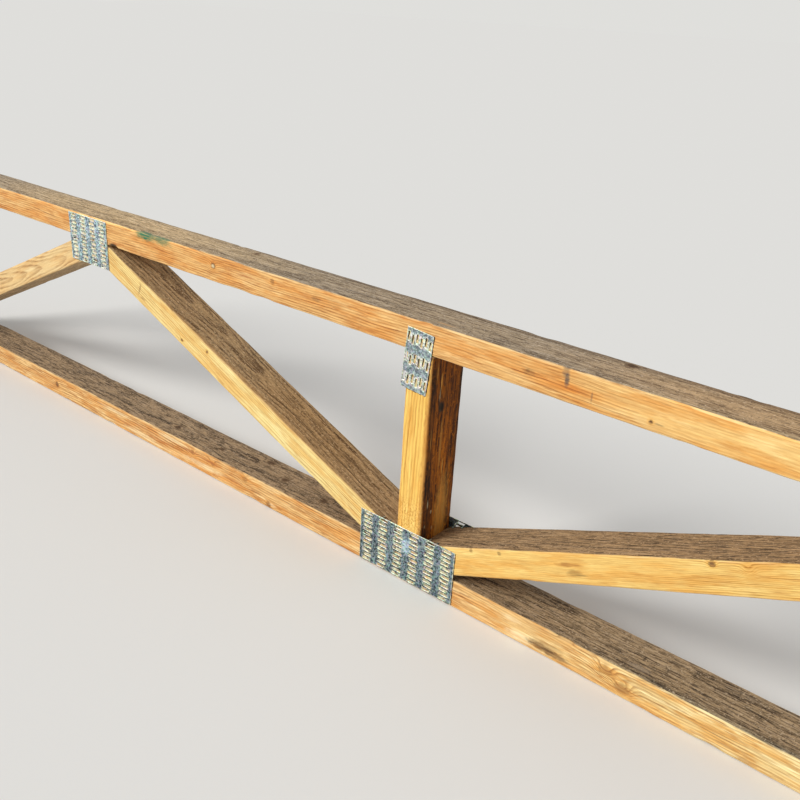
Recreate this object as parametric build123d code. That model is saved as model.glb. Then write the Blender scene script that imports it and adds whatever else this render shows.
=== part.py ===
from build123d import *
import math
import os

# An open-web floor joist: two chords laid flat, posts and diagonals between them,
# and punched steel plates pressed over every joint on both faces.
# Sizes are in millimetres. X runs along the joist, Y through it and Z up.
# The origin is under the middle of the joist, on the face that it stands on.

# Sticks of lumber, all sawn to one section and laid flat
stick_depth = 38.0
stick_width = 64.0
edge_ease = 2.0

# The joist as a whole
joist_length = 2641.6
joist_depth = 355.6
top_joint_from_middle = 660.4
plumb_cut = 26.0

# Punched connector plates
plate_thickness = 0.95
slot_length = 12.4
slot_width = 3.3
slot_stagger = 1.5
pitch_along_slots = 25.4
pitch_across_slots = 6.35

# Slots in each kind of plate, counted along and across their length
top_joint_slots = (4, 12)
bottom_joint_slots = (6, 12)
bottom_corner_slots = (4, 12)
post_slots = (3, 6)

# Where the plates were pressed
plate_edge_margin = 2.2
top_joint_plate_outward = 10.8
bottom_joint_plate_left = 2.4
post_plate_left = 3.5
post_plate_below_seam = 11.4
post_plate_tilt = 5.0

# Levels and faces that the sticks share
half_length = joist_length / 2
half_width = stick_width / 2
chord_seat = stick_depth
chord_ceiling = joist_depth - stick_depth
middle_post_face = stick_depth / 2
end_post_face = half_length - stick_depth


def section(across, along):
    """Section of a stick with its long edges eased."""
    return RectangleRounded(across, along, edge_ease)


def chord(bottom):
    """A full-length chord with its underside at the given height."""
    profile = Plane.YZ * section(stick_width, stick_depth)
    stick = extrude(profile, joist_length / 2, both=True)
    return Pos(0, 0, bottom + stick_depth / 2) * stick


def post(middle):
    """An upright between the chords, centred on the given X."""
    profile = Plane.XY * section(stick_depth, stick_width)
    stick = extrude(profile, chord_ceiling - chord_seat)
    return Pos(middle, 0, chord_seat) * stick


def diagonal(low_x, high_x):
    """A web rising from the bottom chord at low_x to the top joint at high_x.

    The stick is trimmed by the four faces that it meets: the chords above and
    below, the post at its low end and the joint line at its high end. Its slope
    leaves a plumb face of plumb_cut at each end.
    """
    run = abs(high_x - low_x)
    rise = chord_ceiling - chord_seat
    between_plumb_faces = rise - 2 * plumb_cut
    reach = math.hypot(run, between_plumb_faces)
    slope = math.atan2(between_plumb_faces, run) + math.asin(stick_depth / reach)
    turn = -math.degrees(slope)
    if high_x < low_x:
        turn = -turn
    centre = Pos((low_x + high_x) / 2, 0, chord_seat + rise / 2)
    stick = extrude(Plane.YZ * section(stick_width, stick_depth), run, both=True)
    bay = Box(run, 2 * stick_width, rise)
    return centre * (Rot(0, turn, 0) * stick & bay)


def plate_size(slots):
    """Length along the slots and width across them."""
    along, across = slots
    return along * pitch_along_slots, across * pitch_across_slots


def slot_centres(slots):
    """Centres of the slots, with every second row pushed along by the stagger."""
    along, across = slots
    centres = []
    for row in range(across):
        shift = slot_stagger if row % 2 else -slot_stagger
        for column in range(along):
            x = (column - (along - 1) / 2) * pitch_along_slots + shift
            z = (row - (across - 1) / 2) * pitch_across_slots
            centres.append((x, z))
    return centres


def punched_plate(slots):
    """A plate with its slots along X, its inner face on Y = 0 and its outer at -Y."""
    with BuildPart() as plate:
        with BuildSketch(Plane.XZ):
            Rectangle(*plate_size(slots))
            with Locations(*slot_centres(slots)):
                Rectangle(slot_length, slot_width, mode=Mode.SUBTRACT)
        extrude(amount=plate_thickness)
    return plate.part


def plate_pair(name, slots, x, z, turn=0.0, back_turn=None):
    """The front and back plates of one joint, as two named pieces."""
    flat = punched_plate(slots)
    front = Pos(x, -half_width, z) * Rot(0, turn, 0) * flat
    if back_turn is None:
        back_turn = turn
    back = mirror(Pos(x, -half_width, z) * Rot(0, back_turn, 0) * flat, about=Plane.XZ)
    return {name + "_front": front, name + "_back": back}


def sticks():
    """The chords, posts and diagonals."""
    pieces = {
        "bottom_chord": chord(0),
        "top_chord": chord(chord_ceiling),
        "middle_post": post(0),
    }
    for side, way in (("left", -1), ("right", 1)):
        top_joint = way * top_joint_from_middle
        pieces["end_post_" + side] = post(way * (half_length - stick_depth / 2))
        pieces["inner_diagonal_" + side] = diagonal(way * middle_post_face, top_joint)
        pieces["outer_diagonal_" + side] = diagonal(way * end_post_face, top_joint)
    return pieces


def plates():
    """The connector plates over every joint, on both faces."""
    upright = 90.0
    post_plate_z = chord_ceiling - post_plate_below_seam
    post_plate_width = plate_size(post_slots)[1]
    top_joint_z = joist_depth - plate_edge_margin - plate_size(top_joint_slots)[1] / 2
    bottom_joint_z = plate_edge_margin + plate_size(bottom_joint_slots)[1] / 2
    corner_length, corner_height = plate_size(bottom_corner_slots)
    corner_z = plate_edge_margin + corner_height / 2
    plate_end = half_length - plate_edge_margin

    pieces = plate_pair("bottom_joint_plate", bottom_joint_slots, -bottom_joint_plate_left, bottom_joint_z)
    pieces.update(plate_pair("middle_post_plate", post_slots, -post_plate_left, post_plate_z,
                             turn=upright + post_plate_tilt, back_turn=upright))
    for side, way in (("left", -1), ("right", 1)):
        top_joint_x = way * (top_joint_from_middle + top_joint_plate_outward)
        corner_x = way * (plate_end - corner_length / 2)
        end_post_x = way * (plate_end - post_plate_width / 2)
        pieces.update(plate_pair("top_joint_plate_" + side, top_joint_slots, top_joint_x, top_joint_z))
        pieces.update(plate_pair("bottom_corner_plate_" + side, bottom_corner_slots, corner_x, corner_z))
        pieces.update(plate_pair("top_corner_plate_" + side, post_slots, end_post_x, post_plate_z,
                                 turn=upright))
    return pieces


os.makedirs("parts", exist_ok=True)
for name, piece in {**sticks(), **plates()}.items():
    export_step(piece, "parts/" + name + ".step")
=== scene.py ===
"""The looks of an open-web floor joist: weathered lumber sticks and punched galvanised plates.

Every stick and every plate is a finer mesh that stands where its CAD node is. Sticks and plates are
made in frames of their own, in metres: x along the stick or along a plate's slots, y through the
joist from front to back, z across. A material reads those coordinates in millimetres.
"""
import math
from itertools import product

import bpy
import numpy as np
from mathutils import Matrix, Vector
from mathutils.bvhtree import BVHTree


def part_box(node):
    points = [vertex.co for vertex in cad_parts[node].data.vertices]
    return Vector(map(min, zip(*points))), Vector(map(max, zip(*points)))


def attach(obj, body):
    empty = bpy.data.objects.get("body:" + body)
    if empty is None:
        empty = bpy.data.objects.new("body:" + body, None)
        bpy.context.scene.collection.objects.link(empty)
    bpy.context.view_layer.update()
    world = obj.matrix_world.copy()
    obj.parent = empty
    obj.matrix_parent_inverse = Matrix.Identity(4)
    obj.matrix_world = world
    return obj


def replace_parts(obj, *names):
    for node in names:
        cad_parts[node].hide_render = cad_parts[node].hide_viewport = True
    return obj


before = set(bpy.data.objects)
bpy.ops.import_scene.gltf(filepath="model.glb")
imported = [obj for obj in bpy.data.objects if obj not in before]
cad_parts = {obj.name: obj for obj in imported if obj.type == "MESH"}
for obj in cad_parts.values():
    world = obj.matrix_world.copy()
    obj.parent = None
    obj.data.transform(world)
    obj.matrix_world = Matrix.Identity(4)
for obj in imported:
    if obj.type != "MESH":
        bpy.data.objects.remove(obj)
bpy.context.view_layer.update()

MM = 0.001

# Lumber: the section of every stick, and the plumb cut at the ends of the diagonals
stick_depth = 38
stick_width = 64
half_depth = stick_depth / 2
half_width = stick_width / 2
edge_ease = 2
plumb_cut = 26

# Punched plates
plate_thickness = 0.95
slot_length = 12.4
slot_width = 3.3
slot_stagger = 1.5
pitch_along = 25.4
pitch_across = 6.35
post_slots = (3, 6)


# Shader nodes


class Nodes:
    """Short calls that add nodes to a tree."""

    def __init__(self, tree):
        self.tree = tree

    def feed(self, socket, value):
        """Links an output to the socket, or sets the socket to a plain value."""
        if isinstance(value, bpy.types.NodeSocket):
            self.tree.links.new(value, socket)
        elif socket.type == "RGBA":
            socket.default_value = (*value, 1)
        else:
            socket.default_value = value

    def node(self, kind, *values, operation=None, **named):
        """A new node with its inputs fed, the first ones in their order and others by name."""
        node = self.tree.nodes.new("ShaderNode" + kind)
        if operation is not None:
            node.operation = operation
        for socket, value in zip(node.inputs, values):
            self.feed(socket, value)
        for key, value in named.items():
            self.feed(node.inputs[key], value)
        return node

    def vector(self, operation, *values, **named):
        outputs = self.node("VectorMath", *values, operation=operation, **named).outputs
        return outputs["Value" if operation == "LENGTH" else "Vector"]

    def math(self, operation, *values):
        return self.node("Math", *values, operation=operation).outputs[0]

    def chain(self, operation, values):
        total = values[0]
        for value in values[1:]:
            total = self.math(operation, total, value)
        return total

    def times(self, *values):
        return self.chain("MULTIPLY", values)

    def plus(self, *values):
        return self.chain("ADD", values)

    def most(self, *values):
        return self.chain("MAXIMUM", values)

    def off(self, value, centre=0):
        """How far a value is from a centre."""
        return self.math("ABSOLUTE", self.plus(value, -centre) if centre else value)

    def split(self, value):
        return self.node("SeparateXYZ", value).outputs

    def ease(self, value, low, high, start=0, end=1):
        """Goes smoothly from start at low to end at high."""
        node = self.node("MapRange", value, low, high, start, end)
        node.interpolation_type = "SMOOTHSTEP"
        return node.outputs["Result"]

    def fall(self, value, low, high, start=1):
        """Goes smoothly from start at low to 0 at high."""
        return self.ease(value, low, high, start, 0)

    def mix(self, share, a, b):
        """Colour a at share 0 and colour b at share 1."""
        node = self.tree.nodes.new("ShaderNodeMix")
        node.data_type = "RGBA"
        self.feed(node.inputs["Factor"], share)
        self.feed(node.inputs[6], a)
        self.feed(node.inputs[7], b)
        return node.outputs[2]


class Shader(Nodes):
    """The nodes of one new material. shift moves all of its noises."""

    def __init__(self, name, shift=0):
        self.material = bpy.data.materials.new(name)
        self.material.use_nodes = True
        super().__init__(self.material.node_tree)
        self.surface = self.tree.nodes["Principled BSDF"]
        self.shift = shift
        coordinates = self.node("TexCoord").outputs
        self.normal = coordinates["Normal"]
        self.place = self.vector("SCALE", coordinates["Object"], Scale=1 / MM)

    def texture(self, kind, place, **settings):
        """The outputs of a texture whose blobs or cells are about one unit wide."""
        return self.node("Tex" + kind, place, Scale=1, **settings).outputs

    def noise(self, size, seed=0, rough=0.5, detail=2):
        """Smooth noise of 0 to 1. size is the blobs' length and thickness in millimetres."""
        scaled = self.vector("DIVIDE", self.place, (*size, size[-1])[:3])
        shift = self.shift + seed
        place = self.vector("ADD", scaled, (shift, 2.7 * shift, 5.3 * shift))
        return self.texture("Noise", place, Detail=detail, Roughness=rough)["Fac"]

    def noise_colour(self, size):
        """Three noises of 0 to 1 as a vector, with blobs of one size."""
        return self.texture("Noise", self.vector("DIVIDE", self.place, (size, size, size)))["Color"]

    def patches(self, size, seed, low, high, start=0, end=1, **look):
        """Noise that is turned into start below low, and into end above high."""
        return self.ease(self.noise(size, seed, **look), low, high, start, end)

    def sway(self, size, reach, seed=0, detail=1):
        """Noise from about -reach to reach."""
        centred = self.math("SUBTRACT", self.noise(size, seed, detail=detail), 0.5)
        return self.times(centred, 2 * reach)

    def tint(self, share, colour, factor):
        """The colour, multiplied by the factor as far as share goes."""
        return self.mix(share, colour, self.vector("MULTIPLY", colour, factor))

    def coat(self, colour, roughness):
        self.feed(self.surface.inputs["Base Color"], colour)
        self.feed(self.surface.inputs["Roughness"], roughness)

    def bump(self, height, depth):
        """Sends a height of 0 to 1 to the surface, as relief of a depth in millimetres."""
        node = self.node("Bump", Strength=1, Distance=depth * MM, Height=height)
        self.feed(self.surface.inputs["Normal"], node.outputs["Normal"])


# The lumber's material. Each noise has a seed of its own.


def distance_to(s, centre, reach):
    """Distance to a spot, where 1 is the spot's edge."""
    return s.vector("LENGTH", s.vector("DIVIDE", s.vector("SUBTRACT", s.place, centre), reach))


def share_of(s, spots, inner):
    """How far a point lies inside the spots, from 0 up to a spot's own amount."""
    share = 0
    for centre, reach, amount in spots:
        share = s.most(share, s.fall(distance_to(s, centre, reach), inner, 1, amount))
    return share


def knot_fields(s, knots):
    """How far the knots push the growth rings aside, in rings, and how their heart, rim and halo show.

    Besides the listed knots there are a few wild ones.
    """
    scattered = s.vector("DIVIDE", s.place, (310, 210, 190))
    wild = s.texture("Voronoi", s.vector("ADD", scattered, (s.shift, s.shift, s.shift)))
    ragged = s.sway((5, 2.5), 0.45, detail=2)
    found = [(s.times(wild["Distance"], 60), 0.9, 1.2)]
    found += [(distance_to(s, centre, reach), heart, push) for centre, reach, heart, push in knots]
    pushed = hearts = rims = halos = 0
    for away, heart, push in found:
        pushed = s.plus(pushed, s.times(s.math("EXPONENT", s.times(away, away, -0.3)), push))
        rough = s.plus(away, ragged)
        rim = s.times(s.ease(rough, 0.6, 0.95), s.fall(rough, 0.95, 1.35, heart))
        hearts = s.most(hearts, s.fall(rough, 0.55, 1, heart))
        rims = s.most(rims, rim)
        halos = s.most(halos, s.fall(away, 0.9, 2.6, 0.35 + 0.4 * heart))
    return pushed, hearts, rims, halos


def growth_rings(s, x, pith, spacing, taper, pushed):
    """Place within a growth ring, from 0 to 1, and a random tone for each ring."""
    across = s.vector("SUBTRACT", s.vector("MULTIPLY", s.place, (0, 1, 1)), (0, *pith))
    wander = (s.sway((330, 60), 8), s.sway((80, 24), 2.4, 3), s.sway((16, 3), 0.5, 6, 2))
    outward = s.plus(s.vector("LENGTH", across), s.times(x, taper), *wander)
    turns = s.plus(s.math("DIVIDE", outward, spacing), pushed)
    tone = s.node("TexWhiteNoise")
    tone.noise_dimensions = "1D"
    s.feed(tone.inputs["W"], s.math("FLOOR", turns))
    return s.math("FRACT", turns), tone.outputs["Value"]


def fresh_wood(s, colours, contrast, late, fibre, streak, lively):
    """Planed wood that the light has hardly reached: honey and straw patches under broken lines."""
    clear = s.patches((120, 16), 57, 0.35, 0.62, 0.6, 1.2)
    broken = s.patches((48, 3), 60, 0.36, 0.58, 0.6, 1.1, rough=0.6)
    wood = s.mix(s.times(late, clear, broken, lively), *colours)
    dash = s.patches((26, 1.9), 30, 0.53, 0.63, rough=0.6)
    rusty = s.times(dash, s.plus(0.12, s.times(lively, 0.4)), contrast)
    wood = s.tint(rusty, wood, (0.63, 0.46, 0.34))
    shade = s.plus(1, s.times(fibre, -0.5), s.times(streak, -0.5))
    wood = s.tint(s.times(shade, contrast, 0.6), wood, (0.66, 0.53, 0.41))
    honey = s.patches((75, 12), 12, 0.42, 0.64, rough=0.65, detail=3)
    pale = s.patches((60, 10), 33, 0.48, 0.66, rough=0.6, detail=3)
    wood = s.tint(s.times(honey, 0.9 * contrast), wood, (0.92, 0.72, 0.5))
    return s.tint(s.times(pale, 0.8 * contrast), wood, (1.09, 1.2, 1.4))


def aged_wood(s, colours, figure, banding, grain, ridge_shading, late, fibre, streak):
    """Wood that sun and rain have greyed: bands, grit, fine checks and thin lines of grain, each painted
    pale as a lit ridge with a painted shadow beside it.
    """
    fine = s.patches((14 * grain, 2 * grain), 36, 0.4, 0.6, rough=0.7)
    lines = s.plus(s.times(fibre, 0.26), s.times(fine, 0.32), s.times(streak, 0.1))
    tone = s.plus(s.times(late, figure), s.times(lines, banding), 0.05 + 0.38 * (1 - banding))
    wood = s.mix(s.ease(tone, 0.14, 0.9), *colours)
    swing = 0.11 * banding
    band = s.patches((240, 11), 39, 0.3, 0.7, 1 + swing, 1 - swing, rough=0.55)
    wood = s.vector("SCALE", wood, Scale=band)
    lie = s.noise((110 * grain, 5 * grain), 69)
    # Painted light: a thin pale line is the lit crest of a ridge of grain, and a dark line just beside
    # it is its painted shadow.
    ridge_highlight = s.fall(s.off(lie, 0.5), 0, 0.03)
    groove_shadow = s.fall(s.off(lie, 0.42), 0, 0.03)
    pale = s.vector("MULTIPLY", colours[0], (1.3, 1.42, 1.7))
    wood = s.mix(s.times(ridge_highlight, 0.45 * ridge_shading), wood, pale)
    wood = s.tint(s.times(groove_shadow, 0.5 * ridge_shading), wood, (0.4, 0.4, 0.4))
    grit_size = (3.8 * grain, 2.9 * grain)
    dark_grit = s.patches(grit_size, 27, 0.54, 0.69, rough=0.75)
    wood = s.tint(s.times(dark_grit, 0.78), wood, (0.33, 0.33, 0.33))
    pale_grit = s.patches(grit_size, 42, 0.56, 0.69, rough=0.75)
    wood = s.mix(s.times(pale_grit, 0.75), wood, pale)
    line = s.off(s.noise((190, 6), 15, 0.4), 0.5)
    check = s.times(s.fall(line, 0, 0.012), s.patches((60, 20), 45, 0.5, 0.6))
    return s.mix(s.times(check, 0.8), wood, (0.035, 0.022, 0.014)), check


def sawn_end(s, late):
    """End grain: the rings as arcs, with the marks of the saw."""
    wood = s.mix(s.times(late, 0.75), (0.52, 0.33, 0.15), (0.2, 0.1, 0.04))
    saw_mark = s.noise((400, 1.1, 60), 21)
    soak = s.patches((400, 14), 48, 0.35, 0.65)
    return s.vector("SCALE", wood, Scale=s.plus(0.62, s.times(saw_mark, 0.45), s.times(soak, 0.2)))


def weathering(s, y, z, faces):
    """How weathered a point is, and whether it is on the front.

    On the wide faces, top and bottom, the weather has come to an uneven line near the long edges.
    """
    front, back, top, bottom = faces
    inset = s.math("SUBTRACT", half_width, s.off(y))
    reached = s.ease(s.plus(inset, s.sway((55, 7), 1.7, 63, 2)), 0.2, 1.9)
    on_top = s.times(s.ease(z, half_depth - 1.4, half_depth - 0.5), reached)
    on_bottom = s.times(s.fall(z, 0.5 - half_depth, 1.4 - half_depth), reached)
    on_front = s.fall(y, 1 - half_width, 2.5 - half_width)
    on_back = s.ease(y, half_width - 2.5, half_width - 1)
    narrow = s.plus(s.times(on_front, front), s.times(on_back, back))
    return s.most(narrow, s.times(on_top, top), s.times(on_bottom, bottom)), on_front


def painted_edge_highlight(s, y, z, edge_highlight):
    """How strongly the eased edges are painted pale, here and there: a painted highlight where they
    would catch the light.
    """
    far_out = s.ease(s.off(y), half_width - 2.4, half_width - 1.1)
    uneven = s.plus(z, s.sway((30, 3), 0.7, 18))
    high_up = s.ease(s.off(uneven), half_depth - 2.7, half_depth - 1.3)
    inside_top = s.ease(s.off(z), half_depth - 0.3, half_depth - 0.05, 1, 0.3)
    shine = s.patches((24, 2), 51, 0.36, 0.64, 0, edge_highlight, rough=0.6, detail=3)
    spell = s.patches((170, 20), 66, 0.36, 0.58, 0.3, 1, detail=1)
    return s.times(far_out, high_up, inside_top, shine, spell)


def with_knots(s, wood, worn, fibre, streak, hearts, rims, halos):
    """The wood with its knots: a golden halo, a broken dark rim and a brown heart."""
    golden = s.times(halos, s.plus(1, s.times(worn, -0.8)))
    wood = s.tint(golden, wood, (0.98, 0.84, 0.6))
    heart = s.mix(fibre, (0.36, 0.17, 0.055), (0.12, 0.055, 0.022))
    heart = s.mix(s.times(worn, 0.8), heart, (0.055, 0.034, 0.02))
    wood = s.mix(hearts, wood, heart)
    return s.mix(s.times(rims, s.plus(0.2, s.times(streak, 0.7))), wood, (0.085, 0.038, 0.016))


def with_marks(s, wood, fibre, tints, stains):
    """The wood with broad changes of tone, then with marks of dirt, paint and blue stain, and a few of
    painted shadow.
    """
    for centre, reach, factor in tints:
        wood = s.tint(s.fall(distance_to(s, centre, reach), 0.2, 1), wood, factor)
    for centre, reach, colour, strength in stains:
        away = s.plus(distance_to(s, centre, reach), s.sway((7, 2.6), 0.55, centre[0], 3))
        broken = s.plus(0.6, s.times(fibre, 0.4))
        wood = s.mix(s.times(s.fall(away, 0.4, 1.25, strength), broken), wood, colour)
    return wood


def lumber(name, fresh, weathered, pith, spacing=2.4, taper=0.004, shift=0,
           faces=(0, 0.25, 1, 0.7), figure=0.4, banding=1, contrast=1, edge_highlight=0.75,
           grain=1, ridge_shading=1, knots=(), stains=(), tints=(), calm=(), fuzz=None):
    """A stick's wood.

    fresh and weathered are pairs of colours, for early and late wood. pith is the centre of the
    growth rings in the section, spacing and taper are their width and lean. faces says how weathered
    the front, back, top and bottom are, figure how clearly the rings show there, banding how streaky
    they are and ridge_shading how clear their thin lines are, painted as lit ridges with a painted
    shadow beside each. contrast is the fresh wood's, edge_highlight says how strongly the eased edges
    are painted pale as a highlight, and grain is the size of the fine lines. A knot is a centre, a
    reach, the darkness of its heart and how far it pushes the rings. A stain has a colour and a
    strength, a tint multiplies the colour, and a calm spot hides the lines. fuzz is where fibres
    stand up.
    """
    s = Shader(name, shift)
    x, y, z = s.split(s.place)
    pushed, *shares = knot_fields(s, knots)
    ring, ring_tone = growth_rings(s, x, pith, spacing, taper, pushed)
    fibre = s.patches((22 * grain, 1.8 * grain), 0, 0.38, 0.62, rough=0.7, detail=3)
    streak = s.patches((85, 3.6), 9, 0.33, 0.67, rough=0.6)
    late = s.times(
        s.ease(ring, 0.25, 0.86),
        s.fall(ring, 0.9, 1),
        s.plus(s.times(ring_tone, 0.5), 0.5),
        s.plus(s.times(fibre, 0.5), 0.5),
    )
    lively = s.math("SUBTRACT", 1, share_of(s, calm, 0.3))
    new_wood = fresh_wood(s, fresh, contrast, late, fibre, streak, lively)
    old_wood, check = aged_wood(s, weathered, figure, banding, grain, ridge_shading, late, fibre, streak)
    worn, on_front = weathering(s, y, z, faces)
    wood = s.mix(worn, new_wood, old_wood)
    # The pale eased edges are a painted highlight.
    wood = s.mix(painted_edge_highlight(s, y, z, edge_highlight), wood, (0.93, 0.68, 0.34))
    end = s.ease(s.off(s.split(s.normal)[0]), 0.2, 0.32)
    wood = s.mix(end, wood, sawn_end(s, late))
    wood = with_knots(s, wood, worn, fibre, streak, *shares)
    wood = with_marks(s, wood, fibre, tints, stains)
    ridges = s.times(late, s.plus(0.22, s.times(worn, 0.3)))
    relief = s.plus(s.times(fibre, 0.4), ridges, s.times(check, worn, -0.9))
    if fuzz is not None:
        low, high = fuzz
        fade = 30
        fuzzy = s.times(s.ease(x, low, low + fade), s.fall(x, high - fade, high), on_front)
        speck = s.noise((2.6, 1.5), 24, 0.7, 3)
        wood = s.mix(s.times(fuzzy, s.ease(speck, 0.48, 0.66, 0, 0.3)), wood, (0.98, 0.72, 0.3))
        wood = s.mix(s.times(fuzzy, s.fall(speck, 0.36, 0.5, 0.7)), wood, (0.48, 0.19, 0.03))
        relief = s.plus(relief, s.times(fuzzy, speck, 0.8))
    s.coat(wood, s.plus(0.58, s.times(worn, 0.24), s.times(fibre, 0.06)))
    s.surface.inputs["Specular IOR Level"].default_value = 0.28
    s.bump(relief, 0.35)
    return s.material


# The sticks


def waves(place, seed, lengths):
    """A smooth random line of about -1 to 1 along place, which is in millimetres."""
    random = np.random.default_rng(seed)
    total = np.zeros_like(place)
    for length in lengths:
        stretch = length * random.uniform(0.8, 1.25)
        total += np.sin(2 * math.pi * (place / stretch + random.uniform()))
    return total / len(lengths) ** 0.5 / 1.2


def section_loop(ridge):
    """The section's y and z, up the front and down the back, and how many rows its front has.

    ridge is the height at which an end's two cuts meet. The nearest rows move there.
    """
    flat = half_depth - edge_ease
    rows = np.linspace(-flat, flat, 13)
    if ridge is not None:
        for height in (-ridge, ridge):
            rows[np.argmin(abs(rows - height))] = height
    turn = np.linspace(0, math.pi / 2, 5)[1:]
    corner_z = flat + edge_ease * np.sin(turn)
    corner_y = half_width - edge_ease + edge_ease * np.cos(turn)
    rows_z = np.concatenate([-corner_z[::-1], rows, corner_z])
    rows_y = np.concatenate([corner_y[::-1], np.full(len(rows), half_width), corner_y])
    run = np.linspace(edge_ease - half_width, half_width - edge_ease, 21)[1:-1]
    level = np.full(len(run), half_depth)
    y = np.concatenate([-rows_y, run, rows_y[::-1], run[::-1]])
    z = np.concatenate([rows_z, level, rows_z[::-1], -level])
    return y, z, len(rows_z)


def worn_section(x, y, z, seed, bites):
    """The section's y and z at every station, with its edges worn and dented inward."""
    edge_reach = 3.6
    dent_spacing = 260
    random = np.random.default_rng(seed)
    inward_y, inward_z = np.zeros_like(x), np.zeros_like(x)
    low, high = x[0].min(), x[-1].max()
    for sign_y, sign_z in product((-1, 1), (-1, 1)):
        reach = np.hypot(half_width - sign_y * y, half_depth - sign_z * z)
        close = np.exp(-((reach / edge_reach) ** 2))
        wear = 0.22 + 0.15 * waves(x, seed + 7 * sign_y + 3 * sign_z, (310, 120, 47))
        chips = [(random.uniform(low, high), random.uniform(5, 16), random.uniform(0.2, 0.7))
                 for _ in range(int((high - low) / dent_spacing))]
        chips += [bite[:3] for bite in bites if bite[3:] == (sign_y, sign_z)]
        for middle, half_length, depth in chips:
            wear = wear + depth * np.exp(-(((x - middle) / half_length) ** 4))
        inward_y += sign_y * close * np.maximum(wear, 0)
        inward_z += sign_z * close * np.maximum(wear, 0)
    return y - inward_y, z - inward_z


def stick_mesh(name, ends, ridge, seed, bites=()):
    """A stick with worn, dented edges. ends gives its two ends' x at each z.

    bites are chips: place along the stick, half length, depth, and the signs of y and z of the edge.
    """
    station_spacing = 3.4
    end_slack = 0.22
    y, z, rows = section_loop(ridge)
    lows, highs = ends(z)
    stations = max(8, round(float(np.max(highs - lows)) / station_spacing))
    along = np.linspace(0, 1, stations + 1)[:, None]
    x = lows * (1 - along) + highs * along
    worn_y, worn_z = worn_section(x, y, z, seed, bites)
    x[0] += end_slack
    x[-1] -= end_slack
    points = np.stack([x, worn_y, worn_z], axis=2).reshape(-1, 3) * MM

    count = len(y)
    side_faces = stations * count
    faces = []
    for base, i in product(range(0, side_faces, count), range(count)):
        j = (i + 1) % count
        faces.append((base + i, base + j, base + count + j, base + count + i))
    run = count // 2 - rows
    front = list(range(rows))
    top = list(range(rows, rows + run))
    back = list(range(rows + run, 2 * rows + run))[::-1]
    bottom = list(range(2 * rows + run, count))
    caps = [[front[i], front[i + 1], back[i + 1], back[i]] for i in range(1, rows - 2)]
    caps.append([front[-2], front[-1], *top, back[-1], back[-2]])
    caps.append([front[1], back[1], back[0], *bottom, front[0]])
    faces += [cap[::-1] for cap in caps]
    faces += [[side_faces + i for i in cap] for cap in caps]
    mesh = bpy.data.meshes.new(name)
    mesh.from_pydata(points.tolist(), [], faces)
    mesh.polygons.foreach_set("use_smooth", [i < side_faces for i in range(len(faces))])
    mesh.validate()
    return mesh


def add_object(name, data):
    added = bpy.data.objects.new(name, data)
    bpy.context.scene.collection.objects.link(added)
    return added


def add_piece(name, mesh, matrix, slot, *materials):
    """Adds a finished mesh as a piece of the joist."""
    for material in materials:
        mesh.materials.append(material)
    piece = add_object(name, mesh)
    piece.matrix_world = matrix
    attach(piece, "root")
    return piece


def add_stick(node, angle, slot, material, seed, bites=()):
    """A stick in the place of its CAD node, at the given angle above the X axis."""
    low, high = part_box(node)
    centre = (low + high) / 2
    reach_x = (high.x - low.x) / 2 / MM
    reach_z = (high.z - low.z) / 2 / MM
    sine, cosine = math.sin(angle), math.cos(angle)
    rising = math.copysign(1, sine)
    lies_flat = abs(sine) < 0.001
    stands = abs(sine) > 0.999

    def plumb_cut_at(z, way):
        return (way * reach_x + z * sine) / cosine

    def level_cut_at(z, way):
        return (way * reach_z - z * cosine) / sine

    def ends(z):
        if lies_flat:
            return plumb_cut_at(z, -1), plumb_cut_at(z, 1)
        if stands:
            return level_cut_at(z, -1), level_cut_at(z, 1)
        return (np.maximum(plumb_cut_at(z, -1), level_cut_at(z, -rising)),
                np.minimum(plumb_cut_at(z, 1), level_cut_at(z, rising)))

    ridge = None if lies_flat or stands else rising * reach_z * cosine - reach_x * sine
    mesh = stick_mesh(node + "_wood", ends, ridge, seed, bites)
    matrix = Matrix.Translation(centre) @ Matrix.Rotation(-angle, 4, "Y")
    piece = add_piece(node + "_wood", mesh, matrix, slot, material)
    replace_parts(piece, node)


def web_angle(node):
    """A diagonal's slope, from its run, its rise and the plumb cuts."""
    low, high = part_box(node)
    run = (high.x - low.x) / MM
    rise = (high.z - low.z) / MM - 2 * plumb_cut
    return math.atan2(rise, run) + math.asin(stick_depth / math.hypot(run, rise))


front_y = -half_width
face_z = half_depth
chord_fresh = ((0.95, 0.58, 0.215), (0.42, 0.17, 0.04))
salmon_fresh = ((0.97, 0.65, 0.272), (0.34, 0.127, 0.029))
web_fresh = ((1, 0.785, 0.32), (0.5, 0.27, 0.065))
amber_fresh = ((0.98, 0.68, 0.22), (0.62, 0.33, 0.06))
dusty_fresh = ((0.88, 0.645, 0.31), (0.42, 0.21, 0.07))
post_fresh = ((1, 0.66, 0.165), (0.6, 0.28, 0.042))
grey_top = ((0.47, 0.37, 0.255), (0.12, 0.08, 0.048))
brown_top = ((0.42, 0.285, 0.16), (0.064, 0.038, 0.02))
tan_top = ((0.61, 0.41, 0.205), (0.165, 0.092, 0.04))
umber_top = ((0.43, 0.265, 0.125), (0.066, 0.036, 0.016))
# The middle post's side faces: weathered brown, darkened as painted shade, most on the right side, which
# faces away from the key light.
post_weathering_and_shade = ((0.4, 0.112, 0.002), (0.07, 0.017, 0.001))


def front_knot(x, z, size, heart=0.9, push=0.8, tall=1):
    """A knot on a stick's front face, in the stick's own frame."""
    return (x, front_y, z), (size, 2.2 * size, tall * size), heart, push


def top_knot(x, y, size, heart=0.9, push=1):
    return (x, y, face_z), (1.2 * size, size, 2 * size), heart, push


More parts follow.
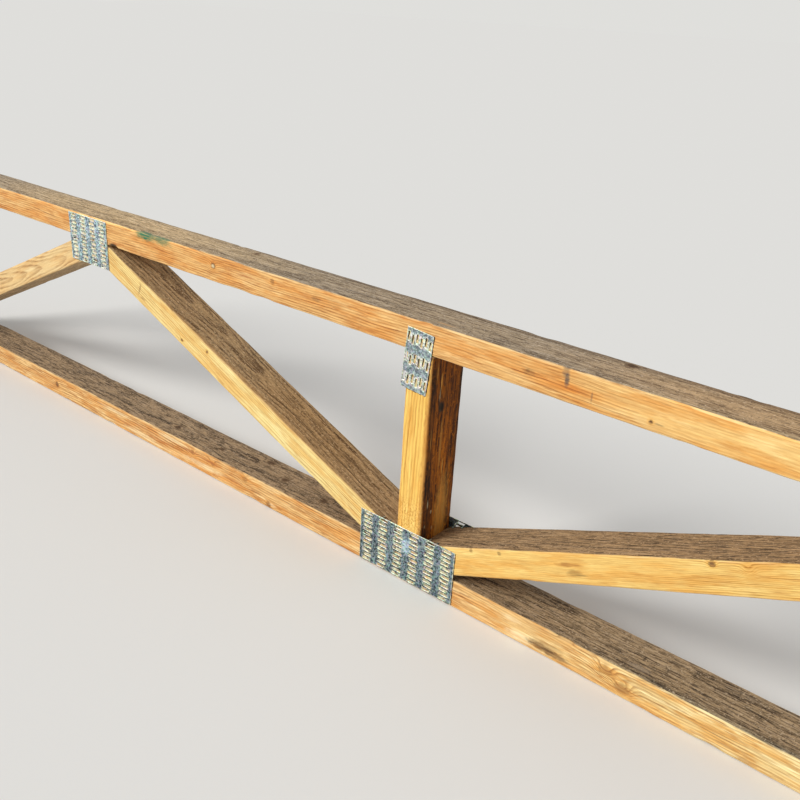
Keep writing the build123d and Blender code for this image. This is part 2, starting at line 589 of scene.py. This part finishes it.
def front(x, z, long, tall, *look, deep=8):
    """A spot on a stick's front face: its centre, its reach (deep is inward) and what it changes."""
    return (x, front_y, z), (long, deep, tall), *look


def top(x, y, long, wide, *look):
    return (x, y, face_z), (long, wide, 6), *look


def bottom(x, y, long, wide, *look):
    """A spot on a stick's bottom face, which is the right side of an upright post."""
    return (x, y, -face_z), (long, wide, 6), *look


green_paint = (0.014, 0.17, 0.085)
blue_stain = (0.06, 0.062, 0.068)
dark_dirt = (0.1, 0.06, 0.03)
brown_dirt = (0.12, 0.055, 0.02)
knot_brown = (0.38, 0.15, 0.035)
red_streak = (0.42, 0.13, 0.035)
# Dark for cracks, and for painted shadow at one chip beside a plate.
crack_and_shadow = (0.022, 0.013, 0.008)
straw = (0.97, 0.82, 0.5)
saw_brown = (0.32, 0.16, 0.05)
dark_speck = (0.2, 0.1, 0.03)
dark_marks_and_shade = (0.01, 0.005, 0.002)
ember = (0.86, 0.42, 0.08)

top_chord_wood = lumber(
    "top_chord_lumber", chord_fresh, grey_top, pith=(-20, -66), spacing=3.3, shift=1.3,
    faces=(0.02, 0.4, 1, 0.45), figure=0.3, banding=0.75, contrast=1.1, edge_highlight=0.8,
    knots=[
        front_knot(-366, 3.6, 4.2, 0.9, 1.8), front_knot(-247, 8.4, 3.4, 0.5, 0.6),
        front_knot(283, -8.8, 2.2, 1, 0.4), front_knot(-700, -6, 4), front_knot(760, 4, 5),
        top_knot(232, 22, 5.5), top_knot(-1120, 6, 8), top_knot(-333, 18, 4), top_knot(820, -9, 6),
    ],
    tints=[
        front(480, 0, 420, 40, (1.08, 1.2, 1.2), deep=12),
        front(-480, 0, 260, 40, (1, 0.98, 0.94), deep=12),
        front(200, -2, 70, 9, (0.97, 0.8, 0.62), deep=12), top(-620, 0, 520, 60, (1.58, 1.45, 1.17)),
        top(0, 0, 260, 60, (1.04, 1, 0.94)), top(400, 0, 320, 60, (1.22, 1.03, 0.8)),
        top(240, 27, 900, 9, (0.66, 0.62, 0.59)),
    ],
    calm=[front(470, 0, 340, 40, 0.75, deep=12), front(60, 8, 50, 10, 0.5, deep=12)],
    stains=[
        front(-520, 16.5, 24, 9, green_paint, 1), front(-481, 16.5, 24, 8, green_paint, 0.85),
        # These two dark marks, at the chipped lower edge beside the top joint plate's right edge, are
        # painted shadow.
        front(-604, -16.5, 12, 3.8, crack_and_shadow, 1), front(-608, -17.5, 8, 3, crack_and_shadow, 1),
        front(-600, -12, 9, 1.6, red_streak, 0.7), front(-366.5, 3.6, 3.2, 2.6, straw, 0.65),
        top(-500, front_y + 3, 42, 4, (0.06, 0.16, 0.12), 0.4), front(189, 5.5, 3, 8.5, blue_stain, 0.8),
        front(187, 14, 4.6, 7.5, blue_stain, 0.55), front(218.6, -3.5, 1.2, 7, blue_stain, 0.55),
        front(144, 0.9, 8.5, 4.4, dark_dirt, 0.45), front(143, 2, 3, 2, crack_and_shadow, 0.5),
        front(291, -9, 6.5, 1.2, dark_dirt, 0.5), front(-168, 4.5, 9, 3.6, dark_dirt, 0.45),
        front(-300, 4, 22, 2, red_streak, 0.55), top(26, front_y + 12, 16, 2.2, (0.66, 0.36, 0.14), 0.6),
        top(184, 5, 17, 0.9, crack_and_shadow, 0.9), top(-60, 14, 40, 1, crack_and_shadow, 0.8),
    ])
bottom_chord_wood = lumber(
    "bottom_chord_lumber", salmon_fresh, brown_top, pith=(16, -58), spacing=3, shift=4.9,
    faces=(0.02, 0.4, 1, 0.5), contrast=1.4, edge_highlight=0.8,
    knots=[
        front_knot(284, 6.4, 7, 0.45, 3.4, 0.75), front_knot(306, -6, 8, 0.5, 4.2, 0.8),
        front_knot(-432, 7.6, 4.6, 0.5, 2.4, 0.8), front_knot(-384, 5.8, 4.6, 0.4, 2.4, 0.8),
        front_knot(-258, -13.5, 5, 0.7, 1.2), front_knot(-309, 7.7, 5, 0.4, 2), front_knot(-820, 1, 4.5),
        top_knot(-501, -6, 5), top_knot(-392, -6, 4), top_knot(-306, 17, 6, 0.9, 1.6),
        top_knot(-253, -4, 5, 0.9, 1.4), top_knot(-171, -7, 5), top_knot(620, -8, 7),
    ],
    tints=[
        front(470, 0, 420, 40, (1.08, 1.3, 1.48), deep=12),
        front(-460, 0, 260, 40, (1.02, 0.98, 0.96), deep=12), top(320, 0, 420, 60, (1.08, 1.1, 1.08)),
    ],
    calm=[front(620, 0, 270, 40, 0.6, deep=12), front(180, 0, 90, 40, 0.55, deep=12)],
    stains=[
        front(175, -10, 20, 7.5, straw, 0.75), front(160, 9, 14, 4, straw, 0.5),
        front(200, -8, 17, 5.2, brown_dirt, 0.95), front(220, -9.6, 21, 5.2, brown_dirt, 0.95),
        front(212, -1, 20, 4, brown_dirt, 0.4), front(292, 3, 10, 4, knot_brown, 0.35),
        front(308, -7, 15, 5.5, knot_brown, 0.5), front(-440, 8.5, 26, 2, red_streak, 0.8),
        front(-390, 7, 26, 2, red_streak, 0.8), front(-340, -4, 26, 1.6, red_streak, 0.6),
        front(-520, -2, 40, 1.6, red_streak, 0.7), front(-560, 6, 30, 1.4, red_streak, 0.7),
        front(-610, -3, 34, 1.5, red_streak, 0.6), front(-410, -6, 50, 5, straw, 0.55),
        front(-480, 12, 40, 4, straw, 0.5), front(-570, -9, 46, 5, straw, 0.5),
        front(-640, 9, 46, 4, straw, 0.5), front(-250, -11, 8, 3, straw, 0.5),
        top(308, 3.5, 15, 0.9, crack_and_shadow, 0.95), top(314, 1, 2, 4.5, crack_and_shadow, 0.9),
        top(316, -17.5, 14, 5, (0.2, 0.18, 0.16), 0.5), top(-396, 0, 16, 1.2, crack_and_shadow, 0.85),
    ])

add_stick("top_chord", 0, "chord_lumber", top_chord_wood, 11,
          bites=[(-603, 7, 1.5, -1, -1), (-320, 24, 0.8, -1, -1), (-262, 13, 0.7, -1, -1),
                 (6, 9, 1.2, -1, 1)])
add_stick("bottom_chord", 0, "chord_lumber", bottom_chord_wood, 23, bites=[(232, 12, 1.3, -1, 1)])

middle_post_wood = lumber(
    "middle_post_lumber", post_fresh, post_weathering_and_shade, pith=(20, 46), spacing=3.3, shift=8.1,
    faces=(0, 0.3, 0.75, 1), contrast=0.7, edge_highlight=0.3, grain=1.9, ridge_shading=1.8, fuzz=(-150, -42),
    knots=[bottom(70, -9, 8, 5.5, 1, 1.5)],
    # On the right side, the broad dark patch near the top is painted shadow under the chord, and the
    # orange band along the front edge softens the edge of the painted shade. The other near-black marks
    # darken streaks near both edges and the knot.
    stains=[
        bottom(0, front_y + 0.6, 170, 2.6, (0.52, 0.2, 0.035), 0.9),
        bottom(60, front_y + 7, 100, 6, dark_marks_and_shade, 0.8), bottom(-75, front_y + 9, 100, 10, dark_marks_and_shade, 0.9),
        bottom(100, 0, 60, 40, dark_marks_and_shade, 0.35), bottom(60, 28, 120, 5, dark_marks_and_shade, 0.7),
        bottom(-30, 14, 60, 3, dark_marks_and_shade, 0.6), bottom(70, -7, 7, 5, dark_marks_and_shade, 1),
        bottom(-84, 8, 62, 15, ember, 0.6), bottom(20, -4, 40, 2.4, ember, 0.4),
        bottom(104, -11, 10, 1.5, ember, 0.75), bottom(87, -12.5, 9, 1.5, straw, 0.35),
        bottom(118, -20, 14, 1.2, ember, 0.5), bottom(30, -24, 16, 1.1, ember, 0.4),
        bottom(-14, 3, 12, 1.3, ember, 0.7), bottom(-60, -21, 7, 1.3, straw, 0.45),
        bottom(-73, -13, 3, 1.6, straw, 0.35), bottom(-90, -24, 3, 1.6, straw, 0.3),
        bottom(-97, -9, 3, 1.4, straw, 0.3),
    ])
end_post_wood = lumber("end_post_lumber", post_fresh, brown_top, pith=(-20, 50), spacing=2.7, shift=9.7)
upright = math.radians(90)
add_stick("middle_post", upright, "web_lumber", middle_post_wood, 31)
for side, seed in (("left", 41), ("right", 43)):
    add_stick("end_post_" + side, upright, "web_lumber", end_post_wood, seed)

inner_left_wood = lumber(
    "inner_left_lumber", web_fresh, tan_top, pith=(4, -30), spacing=2.8, taper=0.02, shift=12.4,
    figure=0.55, banding=0.55, ridge_shading=0.6, contrast=0.85, edge_highlight=0.25,
    knots=[front_knot(-109, -10.3, 2.4), front_knot(-54.8, 9.6, 2.4), top_knot(116, 8, 3, 0.2, 2.2)],
    tints=[front(120, 0, 180, 40, (1, 1.05, 1.1), deep=12), top(150, 0, 190, 60, (0.94, 0.86, 0.75))],
    calm=[front(0, 0, 330, 40, 0.3, deep=12)],
    stains=[
        front(-221, 3, 1.8, 12, saw_brown, 0.7), front(-209, -7, 7, 2, saw_brown, 0.6),
        front(40, 18.5, 300, 2, (0.66, 0.36, 0.13), 0.5),
    ])
inner_right_wood = lumber(
    "inner_right_lumber", amber_fresh, umber_top, pith=(-36, -42), shift=15.8, contrast=0.85, edge_highlight=0.6,
    knots=[front_knot(37.5, 15, 3.2, 0.9, 1.6), front_knot(72, 8, 4, 0, 2.6)],
    calm=[front(-160, 0, 220, 40, 0.6, deep=12), front(260, 0, 160, 40, 0.5, deep=12)],
    stains=[
        front(-258, 16, 3, 3, dark_speck, 0.7), front(-217, 14, 3, 3, dark_speck, 0.7),
        front(-121, -5, 11, 5, brown_dirt, 0.5), front(-126, 4.8, 17, 2.6, knot_brown, 0.8),
        front(-112, -7, 12, 1.2, crack_and_shadow, 0.4),
    ])
outer_left_wood = lumber(
    "outer_left_lumber", dusty_fresh, brown_top, pith=(-9, 1), spacing=3, taper=0.03, shift=18.3,
    contrast=0.5, edge_highlight=0.5)
outer_right_wood = lumber(
    "outer_right_lumber", web_fresh, grey_top, pith=(-26, -50), spacing=2.6, shift=21.9)

diagonals = (
    ("inner_diagonal_left", inner_left_wood, -1),
    ("inner_diagonal_right", inner_right_wood, 1),
    ("outer_diagonal_left", outer_left_wood, 1),
    ("outer_diagonal_right", outer_right_wood, -1),
)
for index, (node, material, way) in enumerate(diagonals):
    add_stick(node, way * web_angle(node), "web_lumber", material, 50 + 5 * index)


# The plates' materials


def galvanised(name, strips, columns, offset=0, furrow=0, tinting=0.9, bright_spots=()):
    """Zinc with fine specks of many tints, lighter in the columns of slots than in the strips between
    them.

    strips and columns are pairs of colours, and offset says where the columns stand in their pitch.
    furrow is how dark the line between two slots of a column is, and tinting how much the hue
    changes from speck to speck.
    """
    s = Shader(name)
    x, _, z = s.split(s.place)
    within = s.math("FRACT", s.plus(s.math("DIVIDE", x, pitch_along), offset))
    from_column = s.times(s.off(within, 0.5), pitch_along)
    column_share = s.fall(s.plus(from_column, s.sway((5, 5), 1.6, 9, 2)), 5.6, 8.2)
    warped = s.vector("ADD", s.place, s.vector("SCALE", s.noise_colour(2.6), Scale=3))
    cells = s.texture("Voronoi", s.vector("DIVIDE", warped, (3, 3, 3)))
    spangle, _, facet = s.split(cells["Color"])
    speck = s.patches((2.6, 2.6), 0, 0.38, 0.62, rough=0.75, detail=3)
    smear = s.patches((19, 11), 4, 0.36, 0.64, rough=0.6, detail=3)
    tones = s.plus(s.times(spangle, 0.38), s.times(speck, 0.54), s.times(smear, 0.12))
    tone = s.ease(tones, 0.1, 0.9)
    zinc = s.mix(column_share, s.mix(tone, *strips), s.mix(tone, *columns))
    bright = s.mix(tone, (0.18, 0.3, 0.38), (0.68, 0.88, 0.95))
    zinc = s.mix(share_of(s, bright_spots, 0.2), zinc, bright)
    between = s.math("FRACT", s.math("DIVIDE", z, pitch_across))
    from_row = s.plus(s.times(s.off(between, 0.5), pitch_across), s.sway((6, 2), 0.5))
    zinc = s.mix(s.times(s.ease(from_row, 2.2, 2.9), column_share, furrow), zinc, strips[0])
    level = 1 - tinting / 2
    hues = s.vector("SCALE", s.noise_colour(3.2), Scale=tinting)
    tints = s.vector("ADD", hues, (level, level, level))
    roughness = s.plus(0.32, s.times(speck, 0.2), s.times(facet, 0.16))
    s.coat(s.vector("MULTIPLY", zinc, tints), roughness)
    s.surface.inputs["Metallic"].default_value = 0.75
    s.bump(s.plus(s.times(speck, 0.5), s.times(facet, 0.5)), 0.1)
    return s.material


def torn_wood(name, dark, pale):
    """The fibres that bulge out of the slots."""
    s = Shader(name)
    fibre = s.patches((7, 1.6, 1.1), 0, 0.36, 0.62, rough=0.7, detail=3)
    amber = s.patches((9, 9), 7, 0.48, 0.66, 0, 0.55, detail=1)
    shaded = s.patches((9, 4), 11, 0.4, 0.56, 0.74, 1, rough=0.6)
    wood = s.mix(amber, s.mix(fibre, dark, pale), (0.84, 0.5, 0.16))
    s.coat(s.vector("SCALE", wood, Scale=shaded), s.plus(0.7, s.times(fibre, 0.2)))
    s.bump(fibre, 0.25)
    return s.material


def slot_shade():
    """Painted shade: the dark colour of torn wood in the recess beside a tooth, also given to the
    painted shadow strips beside the plates.
    """
    s = Shader("torn_wood_painted_shade")
    fibre = s.noise((4, 1, 0.7), rough=0.6)
    s.coat(s.mix(fibre, (0.014, 0.008, 0.004), (0.075, 0.04, 0.016)), s.plus(0.8, s.times(fibre, 0.1)))
    return s.material


slate_strips = ((0.018, 0.038, 0.052), (0.34, 0.44, 0.48))
slate_columns = ((0.06, 0.08, 0.07), (0.8, 0.86, 0.72))
sky_strips = ((0.04, 0.08, 0.11), (0.6, 0.76, 0.82))
sky_columns = ((0.07, 0.09, 0.08), (0.94, 0.98, 0.84))
post_strips = ((0.14, 0.18, 0.2), (0.5, 0.6, 0.62))
post_columns = ((0.17, 0.2, 0.21), (0.92, 0.94, 0.86))
# Near-white zinc: a painted highlight on the slots' rolled lips and on the plates' rims.
highlight_colours = ((0.46, 0.5, 0.42), (0.96, 0.97, 0.82))
dull_zinc = galvanised("zinc_of_corners", slate_strips, slate_columns, furrow=0.9)
joint_zinc = galvanised("zinc_of_bottom_joint", slate_strips, slate_columns, furrow=0.9,
                        bright_spots=[((3, 0, 14), (17, 20, 19), 1)])
bright_zinc = galvanised("zinc_of_top_joints", sky_strips, sky_columns, furrow=0.6)
post_zinc = galvanised("zinc_of_posts", post_strips, post_columns, offset=0.5, tinting=0.6)
highlight_zinc = galvanised("zinc_painted_highlight", highlight_colours, highlight_colours)
fibres = torn_wood("torn_fibres", (0.34, 0.23, 0.09), (1, 0.95, 0.66))
amber_fibres = torn_wood("torn_fibres_amber", (0.62, 0.38, 0.11), (0.99, 0.88, 0.52))
pale_fibres = torn_wood("torn_fibres_pale", (0.78, 0.66, 0.4), (1, 0.96, 0.76))
painted_shade_wood = slot_shade()


# The plates. Their corners and those of their slots are taken in one order.

outline = ((1, -1), (1, 1), (-1, 1), (-1, -1))


class MeshParts:
    """Points and faces collected for one mesh, in millimetres."""

    def __init__(self):
        self.points = []
        self.faces = []
        self.finish = []

    def add(self, points):
        first = len(self.points)
        self.points.extend(points)
        return list(range(first, first + len(points)))

    def face(self, corners, finish=0):
        self.faces.append(corners)
        self.finish.append(finish)

    def ring(self, outer, inner, finish=0):
        """Joins two closed loops of the same length."""
        count = len(outer)
        for i in range(count):
            j = (i + 1) % count
            self.face((outer[i], outer[j], inner[j], inner[i]), finish)

    def mesh(self, name, side, smooth=True):
        """Builds the mesh. side is -1 for the front of the joist and 1 for its back."""
        points = [(x * MM, side * y * MM, z * MM) for x, y, z in self.points]
        faces = [face if side < 0 else face[::-1] for face in self.faces]
        made = bpy.data.meshes.new(name)
        made.from_pydata(points, [], faces)
        made.polygons.foreach_set("material_index", self.finish)
        made.polygons.foreach_set("use_smooth", [smooth] * len(faces))
        made.validate()
        return made


def slot_loop(middle, grow_x, grow_z, corner):
    """Twenty points round a slot that is longer by grow_x at each end and wider by grow_z."""
    half_x = slot_length / 2 + grow_x
    half_z = slot_width / 2 + grow_z
    corner = min(corner, half_z - 0.01)
    points = []
    for quarter, (sign_x, sign_z) in enumerate(outline):
        centre_x = sign_x * (half_x - corner)
        centre_z = sign_z * (half_z - corner)
        for step in range(3):
            turn = math.radians(90 * (quarter - 1) + 45 * step)
            points.append((centre_x + corner * math.cos(turn), centre_z + corner * math.sin(turn)))
        if sign_x == sign_z:
            points += [(sign_x * share * (half_x - corner), sign_z * half_z) for share in (0.5, 0, -0.5)]
        else:
            points.append((sign_x * half_x, 0))
    return [(middle[0] + x, middle[1] + z) for x, z in points]


def cell_loop(middle, low, high):
    """The slot's cell as twenty points that match those round the slot."""
    x0, z0 = low
    x1, z1 = high
    loop = []
    for index, (x, z) in enumerate(slot_loop(middle, 0, 0, 1)):
        if 1 <= index <= 5:
            x = x1
        if 11 <= index <= 15:
            x = x0
        if 5 <= index <= 11:
            z = z1
        if index <= 1 or index >= 15:
            z = z0
        loop.append((x, z))
    return loop


def slots_of(counts):
    """For each slot its middle and its cell's low and high corners, in the plate's frame."""
    along, across = counts
    for row, column in product(range(across), range(along)):
        shift = slot_stagger if row % 2 else -slot_stagger
        x = (column - (along - 1) / 2) * pitch_along
        z = (row - (across - 1) / 2) * pitch_across
        low = (x - pitch_along / 2, z - pitch_across / 2)
        high = (x + pitch_along / 2, z + pitch_across / 2)
        yield (x + shift, z), low, high


def plate_mesh(name, counts, side, seed):
    """A plate whose metal rolls down into every slot. Its heights are measured from the wood."""
    parts = MeshParts()
    along, across = counts
    half_x = along * pitch_along / 2
    half_z = across * pitch_across / 2
    rounding = 0.3
    random = np.random.default_rng(seed)
    tilt = random.uniform(0, 2 * math.pi, 4)
    dull_rings = 0 if counts == post_slots else 1

    def lay(loop, sunk):
        """Points on the outer face, which pressing has left a little wavy."""
        points = []
        for x, z in loop:
            wave = math.sin(x / 13 + tilt[0]) * math.sin(z / 11 + tilt[1])
            wave += math.sin(x / 31 + z / 23 + tilt[2])
            edge = max(0, min(1, (half_x - abs(x)) / 3, (half_z - abs(z)) / 2))
            dip = (sunk + 0.03 * (1 + wave / 2)) * edge
            points.append((x, plate_thickness - dip - rounding * (1 - edge) * 0.2, z))
        return parts.add(points)

    for middle, low, high in slots_of(counts):
        low = (max(low[0], rounding - half_x), max(low[1], rounding - half_z))
        high = (min(high[0], half_x - rounding), min(high[1], half_z - rounding))
        cell = cell_loop(middle, low, high)
        border_depth = 0.13
        border = lay(cell, border_depth)
        burr = random.uniform(0, 0.05)
        # Each ring's growth past the slot in x and z, its corner radius and its depth
        lip = (-0.12, -0.14, 1.4)
        rolls = ((0.8, 0.8, 2.2, 0.12), (0.5, 0.5, 1.9, 0.03 + burr), (0.22, 0.2, 1.7, 0.07 + burr),
                 (0, -0.02, 1.5, 0.25), (*lip, 0.5))
        loops = [lay(slot_loop(middle, *grow), sunk) for *grow, sunk in rolls]
        wall = parts.add([(x, 0, z) for x, z in slot_loop(middle, *lip)])
        under = parts.add([(x, 0, z) for x, z in cell])
        # Finish 1 is the zinc with a painted highlight, on the rolled lips past the first dull_rings
        # rings and down the slot's walls.
        parts.ring(border, loops[0])
        for step, (outer, inner) in enumerate(zip(loops, loops[1:])):
            parts.ring(outer, inner, 0 if step < dull_rings else 1)
        parts.ring(loops[-1], wall, 1)
        parts.ring(wall, under)

    top = plate_thickness
    # The plate's rim takes the zinc with a painted highlight too.
    rims = []
    for inset, height in ((2.2 * rounding, top), (rounding, top), (0, top - rounding), (0, 0),
                          (rounding, 0)):
        reach_x, reach_z = half_x - inset, half_z - inset
        rims.append(parts.add([(sx * reach_x, height, sz * reach_z) for sx, sz in outline]))
    for upper, lower in zip(rims, rims[1:]):
        parts.ring(lower, upper, 1)
    return parts.mesh(name, side)


def teeth_mesh(name, counts, side, seed):
    """Two bent teeth in every slot: a rounded root, then a shank that narrows to a point."""
    parts = MeshParts()
    random = np.random.default_rng(seed)
    thick = 0.85
    bend = 0.95
    tooth_half_width = 1.35
    shank = 8.2
    root = plate_thickness - 0.16
    for middle, *_ in slots_of(counts):
        for way in (-1, 1):
            start_x = middle[0] + way * (slot_length / 2 + 0.05)
            lean = random.uniform(-0.5, 0.5)
            stations = []
            for step in range(5):
                turn = math.radians(22.5 * step)
                sine, rest = math.sin(turn), 1 - math.cos(turn)
                inside = bend - thick
                stations.append((bend * sine, bend * rest, inside * sine, thick + inside * rest,
                                 tooth_half_width))
            for depth, width in ((shank * 0.55, tooth_half_width * 0.8), (shank, 0.25)):
                drift = lean * depth / shank
                stations.append((bend + drift, bend + depth, bend - thick + drift, bend + depth, width))
            loops = []
            for out_x, out_y, in_x, in_y, width in stations:
                corners = ((out_x, out_y, -width), (out_x, out_y, width), (in_x, in_y, width),
                           (in_x, in_y, -width))
                loops.append(parts.add([(start_x - way * along, root - down, middle[1] + across)
                                        for along, down, across in corners]))
            for upper, lower in zip(loops, loops[1:]):
                if way > 0:
                    parts.ring(upper, lower)
                else:
                    parts.ring(lower, upper)
            parts.face(loops[0][::way])
            parts.face(loops[-1][::-way])
    return parts.mesh(name, side, smooth=False)


def add_painted_shadow_strips(parts, counts, low_side, random, lies_over_wood):
    """Thin ragged strips of painted shadow on the wood beside the plate's right and lower edges."""
    half_x = counts[0] * pitch_along / 2
    half_z = counts[1] * pitch_across / 2
    lift = 0.03
    step = 2.5
    for along_x in (False, True):
        reach = half_x if along_x else half_z
        inner, outer = [], []
        for place in np.arange(-reach, reach + 0.01, step):
            for line, shadow_width in ((inner, 0.02), (outer, random.uniform(0.35, 1.5))):
                line.append((place, low_side * (half_z + shadow_width)) if along_x else (half_x + shadow_width, place))
        for i in range(len(inner) - 1):
            corners = [inner[i], outer[i], outer[i + 1], inner[i + 1]]
            if not all(lies_over_wood(*corner) for corner in corners):
                continue
            (x0, z0), (x1, z1), (x2, z2) = corners[:3]
            if (x1 - x0) * (z2 - z0) - (x2 - x0) * (z1 - z0) < 0:
                corners.reverse()
            # Finish 1 gives each strip the painted shade.
            parts.face(parts.add([(x, lift, z) for x, z in corners]), 1)


def fibre_mesh(name, counts, side, seed, matrix, wood):
    """Wood fibres pushed up in each slot that lies over wood, with a recess along one side whose dark
    colour is painted shade over torn wood, and strips of painted shadow beside the plate.
    """
    parts = MeshParts()
    random = np.random.default_rng(seed)
    columns, rows = 11, 8
    reach_x = slot_length / 2 - 0.6
    reach_z = slot_width / 2 - 0.16
    stands = counts == post_slots
    towards_wood = Vector((0, -side, 0))

    def lies_over_wood(x, z):
        spot = matrix @ Vector((x * MM, side * 3 * MM, z * MM))
        return wood.ray_cast(spot, towards_wood, 4 * MM)[0] is not None

    for middle, *_ in slots_of(counts):
        crown = random.uniform(0.4, 0.72)
        tear_width = random.uniform(3, 4.6) if stands else random.uniform(1.4, 4.4)
        tear_length = random.uniform(0.6, 1.2)
        phase = random.uniform(0, 2 * math.pi, 3)
        points, over_wood, shaded_recesses = [], [], []
        for i, j in product(range(columns), range(rows)):
            u, v = i / (columns - 1), j / (rows - 1)
            x = middle[0] + reach_x * (2 * u - 1)
            z = middle[1] + reach_z * (2 * v - 1)
            dome = math.sin(math.pi * min(max(u, 0.02), 0.98)) ** 0.5 * (1 - (2 * v - 1) ** 4)
            ripple = 0.16 * math.sin(9 * v + phase[0] + 2 * u) * math.sin(5 * u + phase[1])
            height = 0.04 + max(0, crown * dome + ripple * dome)
            from_side = j if stands else rows - 1 - j
            from_end = (u if stands else 1 - u) / tear_length
            torn = from_end < 1 and from_side <= tear_width * math.sqrt(1 - from_end ** 2)
            points.append((x, 0.03 if torn else height, z))
            shaded_recesses.append(torn)
            over_wood.append(lies_over_wood(x, z))
        indices = parts.add(points)
        for i, j in product(range(columns - 1), range(rows - 1)):
            near, far = i * rows + j, (i + 1) * rows + j
            corners = (near, far, far + 1, near + 1)
            if all(over_wood[corner] for corner in corners):
                # Faces in the recess take the painted shade.
                dark = sum(shaded_recesses[corner] for corner in corners) >= 3
                parts.face([indices[corner] for corner in corners], 1 if dark else 0)
    add_painted_shadow_strips(parts, counts, 1 if stands else -1, random, lies_over_wood)
    return parts.mesh(name, side)


def wood_surface():
    """The CAD sticks as one surface, for asking what lies behind a slot."""
    points, faces = [], []
    for node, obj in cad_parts.items():
        if "plate" not in node:
            first = len(points)
            points += [vertex.co.copy() for vertex in obj.data.vertices]
            faces += [[first + corner for corner in polygon.vertices] for polygon in obj.data.polygons]
    return BVHTree.FromPolygons(points, faces)


def add_plate(node, counts, zinc, torn, turn, seed, wood):
    """A plate with its teeth and torn wood, in the place of its CAD node."""
    side = -1 if node.endswith("front") else 1
    low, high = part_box(node)
    middle = (low + high) / 2
    seat = Vector((middle.x, side * half_width * MM, middle.z))
    matrix = Matrix.Translation(seat) @ Matrix.Rotation(turn, 4, "Y")
    plate = plate_mesh(node + "_zinc", counts, side, seed)
    teeth = teeth_mesh(node + "_teeth", counts, side, seed + 1)
    tears = fibre_mesh(node + "_fibres", counts, side, seed + 2, matrix, wood)
    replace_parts(add_piece(node + "_zinc", plate, matrix, "galvanised_steel", zinc, highlight_zinc), node)
    add_piece(node + "_teeth", teeth, matrix, "galvanised_steel", zinc)
    add_piece(node + "_fibres", tears, matrix, "web_lumber", torn, painted_shade_wood)


plate_kinds = {
    "bottom_joint_plate": ((6, 12), joint_zinc, fibres),
    "top_joint_plate": ((4, 12), bright_zinc, pale_fibres),
    "bottom_corner_plate": ((4, 12), dull_zinc, fibres),
    "middle_post_plate": (post_slots, post_zinc, amber_fibres),
    "top_corner_plate": (post_slots, post_zinc, amber_fibres),
}
post_plate_tilt = math.radians(5)
wood = wood_surface()
for index, node in enumerate(sorted(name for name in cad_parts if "plate" in name)):
    counts, zinc, torn = next(look for kind, look in plate_kinds.items() if node.startswith(kind))
    turn = upright if counts == post_slots else 0
    if node == "middle_post_plate_front":
        turn += post_plate_tilt
    add_plate(node, counts, zinc, torn, turn, 100 + 10 * index, wood)


# Stage, light and camera

floor_colour = (0.8, 0.8, 0.79)
lit_floor = (0.742, 0.738, 0.714)


def add_floor():
    reach = 60
    drop = -0.0003
    floor_paint = Shader("pale_floor")
    floor_paint.coat(floor_colour, 0.9)
    floor_paint.surface.inputs["Specular IOR Level"].default_value = 0
    mesh = bpy.data.meshes.new("floor")
    mesh.from_pydata([(x * reach, y * reach, drop) for x, y in ((-1, -1), (1, -1), (1, 1), (-1, 1))],
                     [], [(0, 1, 2, 3)])
    mesh.materials.append(floor_paint.material)
    floor = add_object("floor", mesh)


def add_light():
    """One broad, soft key from the front left above, and an even world."""
    key = bpy.data.lights.new("key", "SUN")
    key.energy = 2.4
    key.angle = math.radians(24)
    key.color = (1, 0.98, 0.94)
    lamp = add_object("key", key)
    from_front_left = Vector((-0.55, -0.75, 0.62))
    lamp.rotation_mode = "QUATERNION"
    lamp.rotation_quaternion = from_front_left.to_track_quat("Z", "Y")

    world = bpy.data.worlds.new("studio")
    bpy.context.scene.world = world
    world.use_nodes = True
    n = Nodes(world.node_tree)
    path = n.node("LightPath").outputs
    seen = n.most(path["Is Camera Ray"], path["Is Glossy Ray"], path["Is Transmission Ray"])
    light = n.tree.nodes["Background"]
    n.feed(light.inputs["Color"], (1, 1, 1))
    n.feed(light.inputs["Strength"], 0.5)
    backdrop = n.node("Background", lit_floor, 1)
    shown = n.node("MixShader", seen, light.outputs["Background"], backdrop.outputs["Background"])
    n.feed(n.tree.nodes["World Output"].inputs["Surface"], shown.outputs["Shader"])


def add_camera():
    """The photograph's view: close, above the joist, looking down along it to the left."""
    place = (0.5691, -0.7827, 0.6776)
    heading, down, roll = math.radians(38.37), math.radians(24.07), math.radians(3.36)
    camera = bpy.data.cameras.new("camera")
    camera.sensor_width = 36
    camera.lens = 39.46
    camera.clip_start = 0.01
    camera.clip_end = 200
    holder = add_object("camera", camera)
    turn = Matrix.Rotation(heading, 4, "Z") @ Matrix.Rotation(math.pi / 2 - down, 4, "X")
    holder.matrix_world = Matrix.Translation(place) @ turn @ Matrix.Rotation(roll, 4, "Z")
    bpy.context.scene.camera = holder


add_floor()
add_light()
add_camera()
bpy.context.scene.view_settings.view_transform = "Standard"

bpy.context.view_layer.update()
